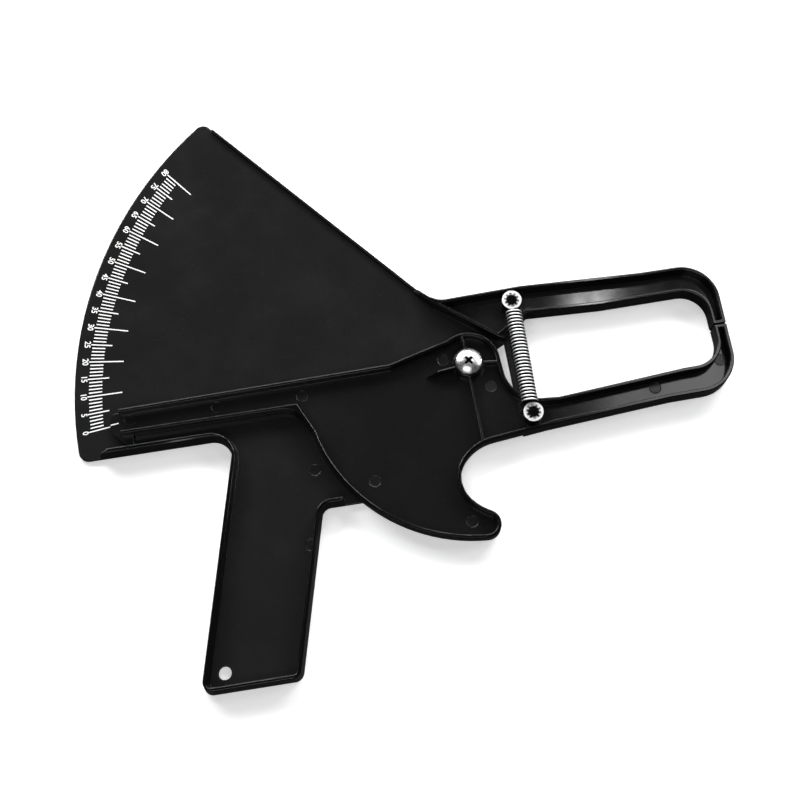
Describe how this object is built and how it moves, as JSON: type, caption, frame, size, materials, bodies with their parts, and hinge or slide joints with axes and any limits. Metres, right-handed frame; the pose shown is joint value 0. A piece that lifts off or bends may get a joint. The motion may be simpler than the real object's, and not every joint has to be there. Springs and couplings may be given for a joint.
{
  "type": "skinfold caliper",
  "caption": "Plastic body-fat skinfold caliper: fan-shaped scale plate with raked handle, sprung lever with pointer, thumb trigger and curved jaw arms.",
  "frame": {"origin": "on the pivot's axis, in the plane of the flat back that the caliper lies on", "axes": "+X from the pivot to the closed jaws, +Y towards the upper jaw arm, +Z out of the front, along the pivot screw towards its head"},
  "size_m": [0.2766, 0.2514, 0.0149],
  "materials": {
    "black_plastic": "satin",
    "screw_steel": "bright zinc plated",
    "spring_steel": "drawn wire",
    "ring_steel": "bright"
  },
  "bodies": {
    "body": {"frame": "black_plastic", "pivot_screw": "screw_steel", "pivot_bush": "screw_steel", "pivot_nut": "screw_steel", "upper_retaining_ring": "ring_steel"},
    "lever_arm": {"lever": "black_plastic", "lower_retaining_ring": "ring_steel"},
    "spring": {"tension_spring": "spring_steel"},
    "spring_foot": {"spring_lower_loop": "spring_steel"}
  },
  "joints": [
    {"name": "lever_hinge", "type": "hinge", "parent": "body", "child": "lever_arm", "pos_m": [0, 0, 0.0069], "axis": [0, 0, -1], "range_deg": [0, 52], "stiffness_Nm_per_rad": 0.1, "springref_deg": -114.59, "deforming": ["tension_spring"]},
    {"name": "spring_swing", "type": "hinge", "parent": "body", "child": "spring", "pos_m": [0.0222, 0.023, 0.0112], "axis": [0, 0, -1], "range_deg": [0, 27.57]},
    {"name": "spring_stretch", "type": "slide", "parent": "spring", "child": "spring_foot", "axis": [0, -1, 0], "range_m": [0, 0.01449], "deforming": ["spring_lower_loop"]}
  ],
  "couplings": [
    {"joint": "spring_swing", "follows": "lever_hinge", "ratio": 0.5293},
    {"joint": "spring_stretch", "follows": "lever_hinge", "m_per_rad": 0.01591}
  ]
}
